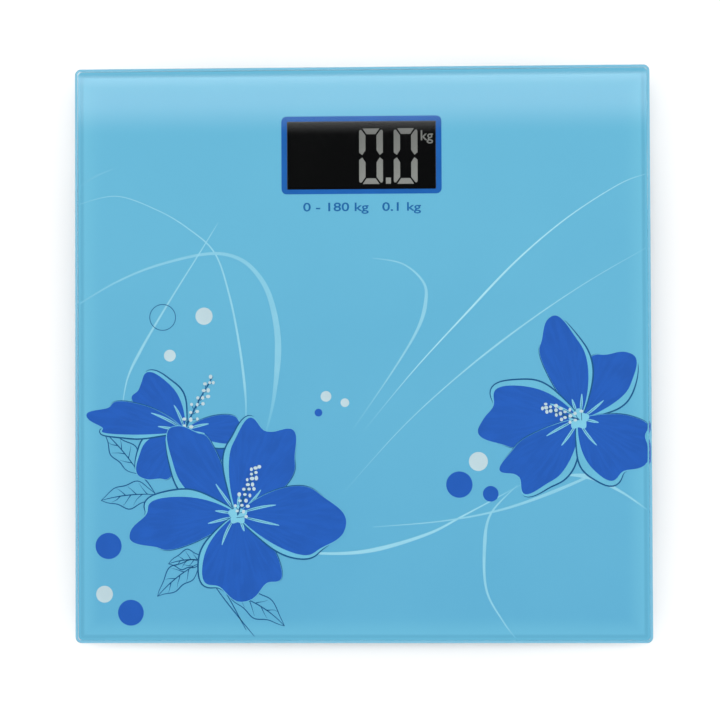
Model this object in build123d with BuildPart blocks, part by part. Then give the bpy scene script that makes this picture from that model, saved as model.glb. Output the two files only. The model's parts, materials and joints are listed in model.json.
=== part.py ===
from build123d import *
import os
from math import atan2, degrees, hypot, pi

# A square glass body-weight scale: a glass plate with a printed underside, a display housing
# with its battery bay, and four feet that each hold one weighing cell.
# Millimetres. +X is to the right and +Y towards the display, as seen by the person standing
# on it. +Z is up. The origin is on the floor, under the middle of the plate.

# ---- driving dimensions ----
PLATE_SIDE = 280.0
PLATE_THICKNESS = 6.0
PLATE_CORNER = 3.0
TOP_BEVEL = 1.5
BOTTOM_BEVEL = 1.2
TOTAL_HEIGHT = 24.0
FILM_THICKNESS = 0.2
TAPE_THICKNESS = 0.8
FIT_GAP = 0.1

# display, seen through the clear window of the printed film
DISPLAY_Y = 97.0
WINDOW_WIDTH = 72.2
WINDOW_DEPTH = 32.8
LCD_WIDTH = 75.0
LCD_DEPTH = 37.0
LCD_LEDGE = 3.5
LCD_GLASS = 1.1
POLARISER = 0.2
POLARISER_MARGIN = 0.7

# display housing, a box open towards the glass
HOUSING_WIDTH = 104.0
HOUSING_LOW_Y = 38.0
HOUSING_HIGH_Y = 120.0
HOUSING_BOTTOM = 3.4
HOUSING_WALL = 2.0
HOUSING_CORNER = 6.0
FLANGE_WIDTH = 3.0
FLANGE_THICKNESS = 1.5
GASKET_WIDTH = 4.0
POST_DIAMETER = 5.5

# battery bay for two AAA cells that lie side by side along X
CELL_LENGTH = 44.5
CELL_DIAMETER = 10.5
CELL_NUB_DIAMETER = 3.8
CELL_NUB_LENGTH = 1.0
CELL_SPACING = 12.0
CELL_Z = 10.3
BAY_Y = 57.0
BAY_WIDTH = 51.0
BAY_DEPTH = 24.0
BAY_WALL = 1.5
BAY_ROOF = 16.0
BAY_FLOOR_EXTRA = 1.0
BAY_FLOOR_MARGIN = 3.0

# battery contacts: a tab on each of the two end plates, a bridge plate and two coil springs
CONTACT_THICKNESS = 0.3
PLATE_WIDTH = 9.0
PLATE_LOW_Z = 5.8
PLATE_HIGH_Z = 15.0
TAB_WIDTH = 2.0
TAB_GAP = 0.1
POSITIVE_TAB_Z = 13.0
POSITIVE_TAB_REACH = 4.0
NEGATIVE_TAB_Z = 12.0
NEGATIVE_TAB_REACH = 6.0
SPRING_WIRE = 0.6
SPRING_RADIUS = 2.8
SPRING_TURNS = 4
CELL_EDGE = 0.6

# battery door, which slides out towards -Y
DOOR_WIDTH = 56.0
DOOR_HIGH_Y = 70.0
DOOR_THICKNESS = 1.5
DOOR_GAP = 0.2
DOOR_TONGUE = 1.0
DOOR_TONGUE_THICKNESS = 0.6
DOOR_TONGUE_Z = 4.0
DOOR_CORNER = 1.5
RIB_COUNT = 5
RIB_PITCH = 2.5
RIB_LENGTH = 18.0
RIB_WIDTH = 1.0
RIB_HEIGHT = 0.4
RIB_FIRST_Y = 43.0

# frame that holds the display on the board, and the contact strip between them
FRAME_SIDE_WALL = 3.4
FRAME_LOW_WALL = 2.4
FRAME_HIGH_WALL = 2.0
FRAME_LEDGE = 2.6
GASKET_LIP = 3.0
ZEBRA_LENGTH = 66.0
ZEBRA_WIDTH = 2.5

# circuit board under the display
BOARD_WIDTH = 94.0
BOARD_LOW_Y = 72.0
BOARD_HIGH_Y = 117.5
BOARD_BOTTOM = 9.4
BOARD_THICKNESS = 1.6
SCREW_X = 43.5
SCREW_LOW_Y = 81.0
SCREW_HIGH_Y = 114.0
SCREW_DIAMETER = 2.0
SCREW_HEAD = 3.6
SCREW_HEAD_HEIGHT = 1.4
SCREW_HEAD_EDGE = 0.35
DRIVE_LENGTH = 1.8
DRIVE_WIDTH = 0.4
DRIVE_DEPTH = 0.7
LUG_THICKNESS = 2.0

# what is soldered to the underside of the board
CHIP_X = -14.0
CHIP_Y = 99.0
CHIP_DIAMETER = 12.0
CHIP_HEIGHT = 1.6
CHIP_EDGE = 1.4
AMPLIFIER_PLACE = (6.0, 99.0)
AMPLIFIER_SIZE = (10.0, 4.0, 1.5)
CRYSTAL_PLACE = (-32.0, 99.0)
CRYSTAL_SIZE = (8.0, 3.0, 2.6)
SMALL_PART_SIZE = (2.0, 1.2, 0.7)
SMALL_PART_PITCH = (5.0, 4.0)
# each group of small parts: its centre, and how many across and along
SMALL_PART_GROUPS = (((4.0, 90.0), 3, 2), ((-14.0, 86.0), 4, 1), ((8.0, 107.0), 4, 1))

# unit button and its switch, on the underside
BUTTON_X = 30.0
BUTTON_Y = 97.0
BUTTON_DIAMETER = 7.0
BUTTON_FLANGE = 9.0
BUTTON_FLANGE_THICKNESS = 0.5
BUTTON_PROUD = 0.4
BUTTON_TRAVEL = 0.3
SWITCH_SIDE = 6.0
SWITCH_CORNER = 0.4
PLUNGER_DIAMETER = 3.3
PLUNGER_DEPTH = 1.6

# weighing feet
FOOT_OFFSET = 106.0
FOOT_DIAMETER = 50.0
FOOT_WALL = 2.0
FOOT_BOTTOM = 4.5
FOOT_ROOF = 14.5
FOOT_LIP = 0.8
CELL_PLATE = 34.0
CELL_PLATE_THICKNESS = 2.0
CELL_PLATE_BOTTOM = 9.5
CELL_CORNER = 3.0
CELL_OPENING = 24.0
ARM_OUTER = 10.5
ARM_INNER = 6.0
BEAM_HALF = 4.0
BRIDGE_LENGTH = 4.0
RIM_WALL = 2.0
RIM_GAP = 0.15
SEAT_INNER = 28.0
HOOK_LENGTH = 6.0
HOOK_REACH = 1.0
NOTCH_START = 13.0
TAPE_DISC = 46.0

# the cap bears on the cell's arms, and drops by its play onto the lip when the scale is lifted
CAP_DIAMETER = 43.6
CAP_BOTTOM = 1.2
CAP_THICKNESS = 3.0
CAP_WALL = 1.5
CAP_PLAY = 0.4
CAP_FLANGE_DIAMETER = 45.4
CAP_FLANGE_BOTTOM = 6.1
CAP_FLANGE_THICKNESS = 1.2
STUD_LENGTH = 8.0
STUD_WIDTH = 3.6
CAP_RIB_TOP = 8.0
PAD_DIAMETER = 38.0
PAD_THICKNESS = 2.0
PAD_GROOVES = (8.0, 13.0)
PAD_GROOVE_WIDTH = 1.2
PAD_GROOVE_DEPTH = 0.6
POTTING_LENGTH = 12.0
POTTING_WIDTH = 7.0
POTTING_HEIGHT = 1.4

# wires and the channels that hold them against the film
WIRE_DIAMETER = 1.0
WIRE_PITCH = 1.4
WIRE_Z = 16.4
CHANNEL_WIDTH = 8.0
CHANNEL_HEIGHT = 3.0
CHANNEL_WALL = 0.8
CHANNEL_GAP = 0.5
NOTCH_WIDTH = 5.4
NOTCH_MARGIN = 1.0
FRONT_NOTCH_REACH = 10.4
RISE_START = 12.5
RISE_END = 18.0
DROP_RUN = 3.0
DROP_Z = 13.4
WIRE_BEND = 2.2
LEAD_OFFSET = 3.1
FRONT_TURN_X = 34.0
FRONT_TURN_Y = 55.5
REAR_PAD_X = 44.5
FRONT_PAD_Y = 74.2

# ---- heights that follow from them ----
glass_bottom = TOTAL_HEIGHT - PLATE_THICKNESS
film_bottom = glass_bottom - FILM_THICKNESS
tape_bottom = film_bottom - TAPE_THICKNESS
floor_top = HOUSING_BOTTOM + HOUSING_WALL
board_top = BOARD_BOTTOM + BOARD_THICKNESS
front_glass_bottom = tape_bottom - POLARISER - LCD_GLASS
rear_glass_bottom = front_glass_bottom - LCD_GLASS
cell_top = CELL_PLATE_BOTTOM + CELL_PLATE_THICKNESS
door_top = HOUSING_BOTTOM + DOOR_THICKNESS
lip_top = CAP_FLANGE_BOTTOM - CAP_PLAY - FIT_GAP

# ---- widths that follow from them ----
housing_y = (HOUSING_LOW_Y + HOUSING_HIGH_Y) / 2
housing_depth = HOUSING_HIGH_Y - HOUSING_LOW_Y
flange_low_y = HOUSING_LOW_Y - FLANGE_WIDTH
flange_x = HOUSING_WIDTH / 2 + FLANGE_WIDTH
contact_x = BAY_WIDTH / 2 - CONTACT_THICKNESS
spring_length = 2 * contact_x - CELL_LENGTH
cell_y = {1: BAY_Y - CELL_SPACING / 2, 2: BAY_Y + CELL_SPACING / 2}

# ---- the feet: centre, and the direction in which the wires leave ----
front_angle = degrees(atan2(FRONT_TURN_Y + FOOT_OFFSET, FRONT_TURN_X - FOOT_OFFSET))
feet = {
    "fl": (-FOOT_OFFSET, -FOOT_OFFSET, 180.0 - front_angle),
    "fr": (FOOT_OFFSET, -FOOT_OFFSET, front_angle),
    "rl": (-FOOT_OFFSET, FOOT_OFFSET, 0.0),
    "rr": (FOOT_OFFSET, FOOT_OFFSET, 180.0),
}

os.makedirs("parts", exist_ok=True)


def foot_plane(foot, height=0.0):
    """The foot's own plane: its X axis points along the wires that leave it."""
    x, y, angle = feet[foot]
    return Plane(origin=(x, y, height), x_dir=Vector(1, 0, 0).rotate(Axis.Z, angle), z_dir=(0, 0, 1))


def flat(height):
    return Plane.XY.offset(height)


def add_block(x_range, y_range, z_range, mode=Mode.ADD):
    """A block between two places on each axis, in the part that is being built."""
    centre = ((x_range[0] + x_range[1]) / 2, (y_range[0] + y_range[1]) / 2)
    with BuildSketch(flat(z_range[0])) as base:
        with Locations(centre):
            Rectangle(x_range[1] - x_range[0], y_range[1] - y_range[0])
    extrude(base.sketch, amount=z_range[1] - z_range[0], mode=mode)


# ================= plate =================
with BuildPart() as glass_platform:
    with BuildSketch(flat(glass_bottom)):
        RectangleRounded(PLATE_SIDE, PLATE_SIDE, PLATE_CORNER)
    extrude(amount=PLATE_THICKNESS)
    chamfer(glass_platform.faces().sort_by(Axis.Z)[-1].edges(), TOP_BEVEL)
    chamfer(glass_platform.faces().sort_by(Axis.Z)[0].edges(), BOTTOM_BEVEL)
glass_platform.part.label = "glass_platform"
export_step(glass_platform.part, "parts/glass_platform.step")

with BuildPart() as printed_film:
    with BuildSketch(flat(film_bottom)):
        film_side = PLATE_SIDE - 2 * BOTTOM_BEVEL
        RectangleRounded(film_side, film_side, PLATE_CORNER - BOTTOM_BEVEL)
        with Locations((0, DISPLAY_Y)):
            Rectangle(WINDOW_WIDTH, WINDOW_DEPTH, mode=Mode.SUBTRACT)
    extrude(amount=FILM_THICKNESS)
printed_film.part.label = "printed_film"
export_step(printed_film.part, "parts/printed_film.step")


# ================= display housing =================
def housing_outline(grow=0.0):
    with Locations((0, housing_y)):
        RectangleRounded(HOUSING_WIDTH + 2 * grow, housing_depth + 2 * grow, HOUSING_CORNER + grow)


def cut_wire_notches():
    """Openings in the rim where the wires of the four feet enter."""
    for foot in feet:
        start = channel_length[foot]
        reach = FRONT_NOTCH_REACH
        if foot.startswith("r"):
            start = FOOT_OFFSET - flange_x - NOTCH_MARGIN
            reach = FLANGE_WIDTH + HOUSING_WALL + 2 * NOTCH_MARGIN
        with BuildSketch(foot_plane(foot, WIRE_Z - WIRE_DIAMETER)) as notch:
            with Locations((start + reach / 2, 0)):
                Rectangle(reach, NOTCH_WIDTH)
        extrude(notch.sketch, amount=WIRE_DIAMETER * 2, mode=Mode.SUBTRACT)


# the channels run from the foot's wall to just short of the housing's flange
channel_start = FOOT_DIAMETER / 2 + CHANNEL_GAP
front_reach = (flange_low_y + FOOT_OFFSET) * hypot(
    FRONT_TURN_X - FOOT_OFFSET, FRONT_TURN_Y + FOOT_OFFSET) / (FRONT_TURN_Y + FOOT_OFFSET)
front_skew = CHANNEL_WIDTH / 2 * (FOOT_OFFSET - FRONT_TURN_X) / (FRONT_TURN_Y + FOOT_OFFSET)
channel_length = {
    "fl": front_reach - front_skew - CHANNEL_GAP,
    "fr": front_reach - front_skew - CHANNEL_GAP,
    "rl": FOOT_OFFSET - flange_x - CHANNEL_GAP,
    "rr": FOOT_OFFSET - flange_x - CHANNEL_GAP,
}

with BuildPart() as display_housing:
    with BuildSketch(flat(HOUSING_BOTTOM)):
        housing_outline()
    extrude(amount=tape_bottom - HOUSING_BOTTOM)
    fillet(display_housing.faces().sort_by(Axis.Z)[0].edges(), HOUSING_WALL - 2 * FIT_GAP)
    with BuildSketch(flat(tape_bottom - FLANGE_THICKNESS)):
        housing_outline(FLANGE_WIDTH)
    extrude(amount=FLANGE_THICKNESS)
    with BuildSketch(flat(floor_top)):
        housing_outline(-HOUSING_WALL)
    extrude(amount=tape_bottom - floor_top, mode=Mode.SUBTRACT)
    # battery bay: thicker floor around it, four walls and a roof
    bay_x = BAY_WIDTH / 2
    bay_low = BAY_Y - BAY_DEPTH / 2
    bay_high = BAY_Y + BAY_DEPTH / 2
    bay_floor = floor_top + BAY_FLOOR_EXTRA
    margin_x = DOOR_WIDTH / 2 + BAY_FLOOR_MARGIN
    add_block((-margin_x, margin_x), (HOUSING_LOW_Y + HOUSING_WALL, DOOR_HIGH_Y + BAY_FLOOR_MARGIN),
              (floor_top, bay_floor))
    add_block((-bay_x - BAY_WALL, bay_x + BAY_WALL), (bay_low - BAY_WALL, bay_high + BAY_WALL),
              (floor_top, tape_bottom))
    add_block((-bay_x, bay_x), (bay_low, bay_high), (HOUSING_BOTTOM, BAY_ROOF), Mode.SUBTRACT)
    # recess and side grooves of the sliding door, open at the front
    recess_x = DOOR_WIDTH / 2 + DOOR_GAP
    groove_x = recess_x + DOOR_TONGUE
    add_block((-recess_x, recess_x), (flange_low_y, DOOR_HIGH_Y + DOOR_GAP),
              (HOUSING_BOTTOM, door_top + FIT_GAP), Mode.SUBTRACT)
    add_block((-groove_x, groove_x), (flange_low_y, DOOR_HIGH_Y + DOOR_GAP),
              (DOOR_TONGUE_Z - FIT_GAP, DOOR_TONGUE_Z + DOOR_TONGUE_THICKNESS + FIT_GAP), Mode.SUBTRACT)
    # slots for the two contact tabs
    for cell, tab_z in ((1, POSITIVE_TAB_Z), (2, NEGATIVE_TAB_Z)):
        add_block((bay_x, bay_x + BAY_WALL), (cell_y[cell] - TAB_WIDTH / 2 - TAB_GAP,
                                              cell_y[cell] + TAB_WIDTH / 2 + TAB_GAP),
                  (tab_z - TAB_GAP, tab_z + CONTACT_THICKNESS + TAB_GAP), Mode.SUBTRACT)
    # posts under the circuit board, with screw holes
    with BuildSketch(flat(floor_top)):
        for post_y in (SCREW_LOW_Y, SCREW_HIGH_Y):
            with Locations((-SCREW_X, post_y), (SCREW_X, post_y)):
                Circle(POST_DIAMETER / 2)
    extrude(amount=BOARD_BOTTOM - floor_top)
    with BuildSketch(flat(floor_top)):
        for post_y in (SCREW_LOW_Y, SCREW_HIGH_Y):
            with Locations((-SCREW_X, post_y), (SCREW_X, post_y)):
                Circle((SCREW_DIAMETER + FIT_GAP / 2) / 2)
    extrude(amount=BOARD_BOTTOM - floor_top, mode=Mode.SUBTRACT)
    # hole for the unit button
    with BuildSketch(flat(HOUSING_BOTTOM)):
        with Locations((BUTTON_X, BUTTON_Y)):
            Circle(BUTTON_DIAMETER / 2 + FIT_GAP)
    extrude(amount=HOUSING_WALL, mode=Mode.SUBTRACT)
    cut_wire_notches()
display_housing.part.label = "display_housing"
export_step(display_housing.part, "parts/display_housing.step")

with BuildPart() as housing_gasket:
    with BuildSketch(flat(tape_bottom)):
        housing_outline(FLANGE_WIDTH)
        with Locations((0, housing_y)):
            gasket_inset = FLANGE_WIDTH - GASKET_WIDTH
            RectangleRounded(HOUSING_WIDTH + 2 * gasket_inset, housing_depth + 2 * gasket_inset,
                             HOUSING_CORNER + gasket_inset, mode=Mode.SUBTRACT)
    extrude(amount=TAPE_THICKNESS)
housing_gasket.part.label = "housing_gasket"
export_step(housing_gasket.part, "parts/housing_gasket.step")

# ================= battery door =================
with BuildPart() as battery_door:
    door_depth = DOOR_HIGH_Y - HOUSING_LOW_Y
    door_y = (DOOR_HIGH_Y + HOUSING_LOW_Y) / 2
    with BuildSketch(flat(HOUSING_BOTTOM)):
        with Locations((0, door_y)):
            RectangleRounded(DOOR_WIDTH, door_depth, DOOR_CORNER)
    extrude(amount=DOOR_THICKNESS)
    tongue_x = DOOR_WIDTH / 2 + DOOR_TONGUE
    add_block((-tongue_x, tongue_x), (HOUSING_LOW_Y + DOOR_CORNER, DOOR_HIGH_Y - DOOR_CORNER),
              (DOOR_TONGUE_Z, DOOR_TONGUE_Z + DOOR_TONGUE_THICKNESS))
    with BuildSketch(flat(HOUSING_BOTTOM)):
        with Locations((0, RIB_FIRST_Y + (RIB_COUNT - 1) * RIB_PITCH / 2)):
            with GridLocations(0, RIB_PITCH, 1, RIB_COUNT):
                SlotOverall(RIB_LENGTH, RIB_WIDTH)
    extrude(amount=-RIB_HEIGHT)
battery_door.part.label = "battery_door"
export_step(battery_door.part, "parts/battery_door.step")

# ================= batteries and contacts =================
def end_plane(x, y, z_dir_x):
    """A plane that stands across the cells, looking along +X or -X."""
    return Plane(origin=(x, y, CELL_Z), x_dir=(0, 1, 0), z_dir=(z_dir_x, 0, 0))


# cell 1 has its positive end at +X, and cell 2 at -X
for cell, side in ((1, 1), (2, -1)):
    with BuildPart() as battery:
        base = contact_x - CELL_LENGTH
        with BuildSketch(end_plane(side * base, cell_y[cell], side)):
            Circle(CELL_DIAMETER / 2)
        extrude(amount=CELL_LENGTH - CELL_NUB_LENGTH)
        fillet(battery.edges().filter_by(GeomType.CIRCLE), CELL_EDGE)
        with BuildSketch(end_plane(side * (contact_x - CELL_NUB_LENGTH), cell_y[cell], side)):
            Circle(CELL_NUB_DIAMETER / 2)
        extrude(amount=CELL_NUB_LENGTH)
    battery.part.label = f"battery_{cell}"
    export_step(battery.part, f"parts/battery_{cell}.step")

    with BuildPart() as spring:
        coil_start = -side * contact_x + side * SPRING_WIRE / 2
        coil_length = spring_length - SPRING_WIRE
        with BuildLine():
            coil = Helix(coil_length / SPRING_TURNS, coil_length, SPRING_RADIUS,
                         center=(coil_start, cell_y[cell], CELL_Z), direction=(side, 0, 0))
        with BuildSketch(Plane(origin=coil @ 0, z_dir=coil % 0)):
            Circle(SPRING_WIRE / 2)
        sweep(is_frenet=True)
    spring.part.label = f"battery_spring_{cell}"
    export_step(spring.part, f"parts/battery_spring_{cell}.step")

for name, cell, tab_z, tab_reach in (
    ("battery_contact_positive", 1, POSITIVE_TAB_Z, POSITIVE_TAB_REACH),
    ("battery_contact_negative", 2, NEGATIVE_TAB_Z, NEGATIVE_TAB_REACH),
):
    with BuildPart() as contact:
        add_block((contact_x, contact_x + CONTACT_THICKNESS),
                  (cell_y[cell] - PLATE_WIDTH / 2, cell_y[cell] + PLATE_WIDTH / 2),
                  (PLATE_LOW_Z, PLATE_HIGH_Z))
        add_block((contact_x, contact_x + tab_reach),
                  (cell_y[cell] - TAB_WIDTH / 2, cell_y[cell] + TAB_WIDTH / 2),
                  (tab_z, tab_z + CONTACT_THICKNESS))
    contact.part.label = name
    export_step(contact.part, f"parts/{name}.step")

with BuildPart() as battery_contact_bridge:
    add_block((-contact_x - CONTACT_THICKNESS, -contact_x),
              (cell_y[1] - PLATE_WIDTH / 2, cell_y[2] + PLATE_WIDTH / 2), (PLATE_LOW_Z, PLATE_HIGH_Z))
battery_contact_bridge.part.label = "battery_contact_bridge"
export_step(battery_contact_bridge.part, "parts/battery_contact_bridge.step")

# ================= display =================
lcd_low = DISPLAY_Y - LCD_DEPTH / 2
lcd_high = DISPLAY_Y + LCD_DEPTH / 2
frame_x = LCD_WIDTH / 2 + FRAME_SIDE_WALL
frame_low = lcd_low - FRAME_LOW_WALL
frame_high = lcd_high + FRAME_HIGH_WALL

with BuildPart() as window_gasket:
    with BuildSketch(flat(tape_bottom)):
        with Locations((0, DISPLAY_Y)):
            Rectangle(WINDOW_WIDTH + 2 * GASKET_LIP, WINDOW_DEPTH + 2 * GASKET_LIP)
            Rectangle(WINDOW_WIDTH, WINDOW_DEPTH, mode=Mode.SUBTRACT)
    extrude(amount=TAPE_THICKNESS)
window_gasket.part.label = "window_gasket"
export_step(window_gasket.part, "parts/window_gasket.step")

with BuildPart() as lcd_front_polariser:
    with BuildSketch(flat(tape_bottom - POLARISER)):
        with Locations((0, DISPLAY_Y)):
            Rectangle(LCD_WIDTH - POLARISER_MARGIN, LCD_DEPTH - POLARISER_MARGIN)
    extrude(amount=POLARISER)
lcd_front_polariser.part.label = "lcd_front_polariser"
export_step(lcd_front_polariser.part, "parts/lcd_front_polariser.step")

with BuildPart() as lcd_front_glass:
    with BuildSketch(flat(front_glass_bottom)):
        with Locations((0, DISPLAY_Y)):
            Rectangle(LCD_WIDTH, LCD_DEPTH)
    extrude(amount=LCD_GLASS)
lcd_front_glass.part.label = "lcd_front_glass"
export_step(lcd_front_glass.part, "parts/lcd_front_glass.step")

rear_depth = LCD_DEPTH - LCD_LEDGE
rear_y = DISPLAY_Y + LCD_LEDGE / 2
with BuildPart() as lcd_rear_glass:
    with BuildSketch(flat(rear_glass_bottom)):
        with Locations((0, rear_y)):
            Rectangle(LCD_WIDTH, rear_depth)
    extrude(amount=LCD_GLASS)
lcd_rear_glass.part.label = "lcd_rear_glass"
export_step(lcd_rear_glass.part, "parts/lcd_rear_glass.step")

with BuildPart() as lcd_rear_polariser:
    with BuildSketch(flat(rear_glass_bottom - POLARISER)):
        with Locations((0, rear_y)):
            Rectangle(LCD_WIDTH - 2 * FRAME_LEDGE - POLARISER_MARGIN,
                      rear_depth - 2 * FRAME_LEDGE - POLARISER_MARGIN)
    extrude(amount=POLARISER)
lcd_rear_polariser.part.label = "lcd_rear_polariser"
export_step(lcd_rear_polariser.part, "parts/lcd_rear_polariser.step")

with BuildPart() as lcd_frame:
    add_block((-frame_x, frame_x), (frame_low, frame_high), (board_top, tape_bottom))
    pocket_x = LCD_WIDTH / 2 + FIT_GAP
    add_block((-pocket_x, pocket_x), (lcd_low - FIT_GAP, lcd_high + FIT_GAP),
              (rear_glass_bottom, tape_bottom), Mode.SUBTRACT)
    ledge_x = LCD_WIDTH / 2 - FRAME_LEDGE
    add_block((-ledge_x, ledge_x), (lcd_low - FIT_GAP, lcd_high - FRAME_LEDGE),
              (board_top, rear_glass_bottom), Mode.SUBTRACT)
    with BuildSketch(flat(board_top)):
        for lug_y in (SCREW_LOW_Y, SCREW_HIGH_Y):
            with Locations((0, lug_y)):
                Rectangle(2 * SCREW_X, POST_DIAMETER)
            with Locations((-SCREW_X, lug_y), (SCREW_X, lug_y)):
                Circle(POST_DIAMETER / 2)
        with Locations((0, DISPLAY_Y)):
            Rectangle(2 * frame_x, LCD_DEPTH + FRAME_LOW_WALL, mode=Mode.SUBTRACT)
        for lug_y in (SCREW_LOW_Y, SCREW_HIGH_Y):
            with Locations((-SCREW_X, lug_y), (SCREW_X, lug_y)):
                Circle((SCREW_DIAMETER + FIT_GAP) / 2, mode=Mode.SUBTRACT)
    extrude(amount=LUG_THICKNESS)
lcd_frame.part.label = "lcd_frame"
export_step(lcd_frame.part, "parts/lcd_frame.step")

with BuildPart() as zebra_connector:
    zebra_low = lcd_low + FIT_GAP
    add_block((-ZEBRA_LENGTH / 2, ZEBRA_LENGTH / 2), (zebra_low, zebra_low + ZEBRA_WIDTH),
              (board_top, front_glass_bottom))
zebra_connector.part.label = "zebra_connector"
export_step(zebra_connector.part, "parts/zebra_connector.step")

with BuildPart() as lcd_screws:
    for screw_y in (SCREW_LOW_Y, SCREW_HIGH_Y):
        with BuildSketch(flat(floor_top + FIT_GAP)):
            with Locations((-SCREW_X, screw_y), (SCREW_X, screw_y)):
                Circle(SCREW_DIAMETER / 2)
        extrude(amount=board_top + LUG_THICKNESS - floor_top - FIT_GAP)
        with BuildSketch(flat(board_top + LUG_THICKNESS)):
            with Locations((-SCREW_X, screw_y), (SCREW_X, screw_y)):
                Circle(SCREW_HEAD / 2)
        extrude(amount=SCREW_HEAD_HEIGHT)
    chamfer(lcd_screws.faces().group_by(Axis.Z)[-1].edges(), SCREW_HEAD_EDGE)
    for turn in (0, 90):
        with BuildSketch(flat(board_top + LUG_THICKNESS + SCREW_HEAD_HEIGHT)):
            for screw_y in (SCREW_LOW_Y, SCREW_HIGH_Y):
                with Locations((-SCREW_X, screw_y), (SCREW_X, screw_y)):
                    Rectangle(DRIVE_LENGTH, DRIVE_WIDTH, rotation=turn)
        extrude(amount=-DRIVE_DEPTH, mode=Mode.SUBTRACT)
lcd_screws.part.label = "lcd_screws"
export_step(lcd_screws.part, "parts/lcd_screws.step")

# ================= circuit board =================
with BuildPart() as circuit_board:
    add_block((-BOARD_WIDTH / 2, BOARD_WIDTH / 2), (BOARD_LOW_Y, BOARD_HIGH_Y),
              (BOARD_BOTTOM, board_top))
    with BuildSketch(flat(BOARD_BOTTOM)):
        for screw_y in (SCREW_LOW_Y, SCREW_HIGH_Y):
            with Locations((-SCREW_X, screw_y), (SCREW_X, screw_y)):
                Circle((SCREW_DIAMETER + 2 * FIT_GAP) / 2)
    extrude(amount=BOARD_THICKNESS, mode=Mode.SUBTRACT)
circuit_board.part.label = "circuit_board"
export_step(circuit_board.part, "parts/circuit_board.step")

with BuildPart() as chip_blob:
    with BuildSketch(flat(BOARD_BOTTOM)):
        with Locations((CHIP_X, CHIP_Y)):
            Circle(CHIP_DIAMETER / 2)
    extrude(amount=-CHIP_HEIGHT)
    fillet(chip_blob.faces().sort_by(Axis.Z)[0].edges(), CHIP_EDGE)
chip_blob.part.label = "chip_blob"
export_step(chip_blob.part, "parts/chip_blob.step")

with BuildPart() as board_components:
    with BuildSketch(flat(BOARD_BOTTOM)):
        with Locations(AMPLIFIER_PLACE):
            Rectangle(AMPLIFIER_SIZE[0], AMPLIFIER_SIZE[1])
    extrude(amount=-AMPLIFIER_SIZE[2])
    with BuildSketch(flat(BOARD_BOTTOM)):
        with Locations(CRYSTAL_PLACE):
            SlotOverall(CRYSTAL_SIZE[0], CRYSTAL_SIZE[1])
    extrude(amount=-CRYSTAL_SIZE[2])
    with BuildSketch(flat(BOARD_BOTTOM)):
        for place, across, along in SMALL_PART_GROUPS:
            with Locations(place):
                with GridLocations(SMALL_PART_PITCH[0], SMALL_PART_PITCH[1], across, along):
                    Rectangle(SMALL_PART_SIZE[0], SMALL_PART_SIZE[1])
    extrude(amount=-SMALL_PART_SIZE[2])
board_components.part.label = "board_components"
export_step(board_components.part, "parts/board_components.step")

# ================= unit button =================
flange_top = floor_top + BUTTON_FLANGE_THICKNESS
switch_bottom = flange_top + BUTTON_TRAVEL + FIT_GAP

with BuildPart() as tact_switch:
    with BuildSketch(flat(switch_bottom)):
        with Locations((BUTTON_X, BUTTON_Y)):
            RectangleRounded(SWITCH_SIDE, SWITCH_SIDE, SWITCH_CORNER)
    extrude(amount=BOARD_BOTTOM - switch_bottom)
    with BuildSketch(flat(switch_bottom)):
        with Locations((BUTTON_X, BUTTON_Y)):
            Circle(PLUNGER_DIAMETER / 2 + FIT_GAP)
    extrude(amount=PLUNGER_DEPTH + BUTTON_TRAVEL, mode=Mode.SUBTRACT)
tact_switch.part.label = "tact_switch"
export_step(tact_switch.part, "parts/tact_switch.step")

with BuildPart() as switch_plunger:
    with BuildSketch(flat(flange_top)):
        with Locations((BUTTON_X, BUTTON_Y)):
            Circle(PLUNGER_DIAMETER / 2)
    extrude(amount=PLUNGER_DEPTH + FIT_GAP)
switch_plunger.part.label = "switch_plunger"
export_step(switch_plunger.part, "parts/switch_plunger.step")

with BuildPart() as unit_button:
    with BuildSketch(flat(HOUSING_BOTTOM - BUTTON_PROUD)):
        with Locations((BUTTON_X, BUTTON_Y)):
            Circle(BUTTON_DIAMETER / 2)
    extrude(amount=HOUSING_WALL + BUTTON_PROUD)
    fillet(unit_button.faces().sort_by(Axis.Z)[0].edges(), BUTTON_PROUD)
    with BuildSketch(flat(floor_top)):
        with Locations((BUTTON_X, BUTTON_Y)):
            Circle(BUTTON_FLANGE / 2)
    extrude(amount=BUTTON_FLANGE_THICKNESS)
unit_button.part.label = "unit_button"
export_step(unit_button.part, "parts/unit_button.step")

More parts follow.
